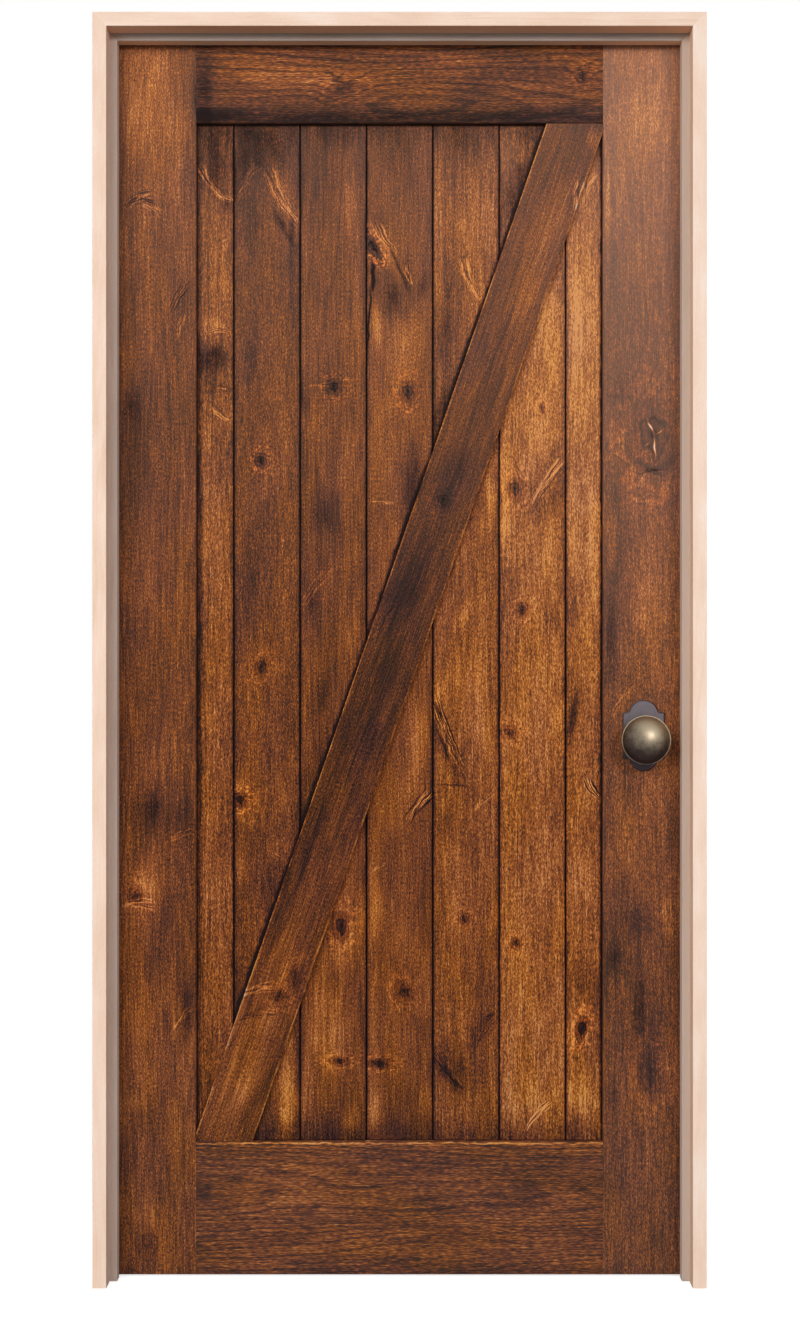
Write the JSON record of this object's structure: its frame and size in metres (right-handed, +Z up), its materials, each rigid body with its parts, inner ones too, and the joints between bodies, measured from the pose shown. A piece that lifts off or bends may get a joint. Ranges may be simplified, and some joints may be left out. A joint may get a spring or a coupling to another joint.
{
  "type": "framed and braced plank door in its jamb",
  "caption": "Framed and braced plank door: stained knotty wood leaf with a diagonal brace and round knobs, hung on butt hinges in a pale mitred timber jamb with stops.",
  "frame": {"origin": "on the outer face of the hinge jamb, at floor level, half way through the jamb's depth", "axes": "+X across the doorway to the strike jamb, +Y through the wall to the swing side, +Z up"},
  "size_m": [0.968, 0.182, 2.011],
  "materials": {
    "maple_jamb": "bare planed pale wood",
    "stained_alder": "dark stained knotty wood, satin",
    "dark_bronze": "dark patina",
    "aged_bronze": "aged patina, rubbed",
    "steel": "plain"
  },
  "bodies": {
    "frame": {"hinge_jamb": "maple_jamb", "strike_jamb": "maple_jamb", "head_jamb": "maple_jamb", "hinge_stop": "maple_jamb", "strike_stop": "maple_jamb", "head_stop": "maple_jamb", "top_hinge_jamb_plate": "dark_bronze", "middle_hinge_jamb_plate": "dark_bronze", "bottom_hinge_jamb_plate": "dark_bronze", "top_hinge_pin": "dark_bronze", "middle_hinge_pin": "dark_bronze", "bottom_hinge_pin": "dark_bronze", "strike_plate": "dark_bronze"},
    "leaf": {"hinge_stile": "stained_alder", "lock_stile": "stained_alder", "top_rail": "stained_alder", "bottom_rail": "stained_alder", "plank_1": "stained_alder", "plank_2": "stained_alder", "plank_3": "stained_alder", "plank_4": "stained_alder", "plank_5": "stained_alder", "plank_6": "stained_alder", "plank_7": "stained_alder", "front_brace": "stained_alder", "back_brace": "stained_alder", "top_hinge_leaf_plate": "dark_bronze", "middle_hinge_leaf_plate": "dark_bronze", "bottom_hinge_leaf_plate": "dark_bronze", "front_rosette": "dark_bronze", "back_rosette": "dark_bronze", "latch_faceplate": "dark_bronze", "latch_bolt": "steel"},
    "knobs": {"front_knob": "aged_bronze", "back_knob": "aged_bronze", "spindle": "steel"}
  },
  "joints": [
    {"name": "leaf_swing", "type": "hinge", "parent": "frame", "child": "leaf", "pos_m": [0.0245, 0.0651, 0], "axis": [0, 0, 1], "range_deg": [0, 170]},
    {"name": "knob_turn", "type": "hinge", "parent": "leaf", "child": "knobs", "pos_m": [0.876, 0.036, 0.863], "axis": [0, 1, 0], "range_deg": [-60, 60], "stiffness_Nm_per_rad": 0.8}
  ]
}
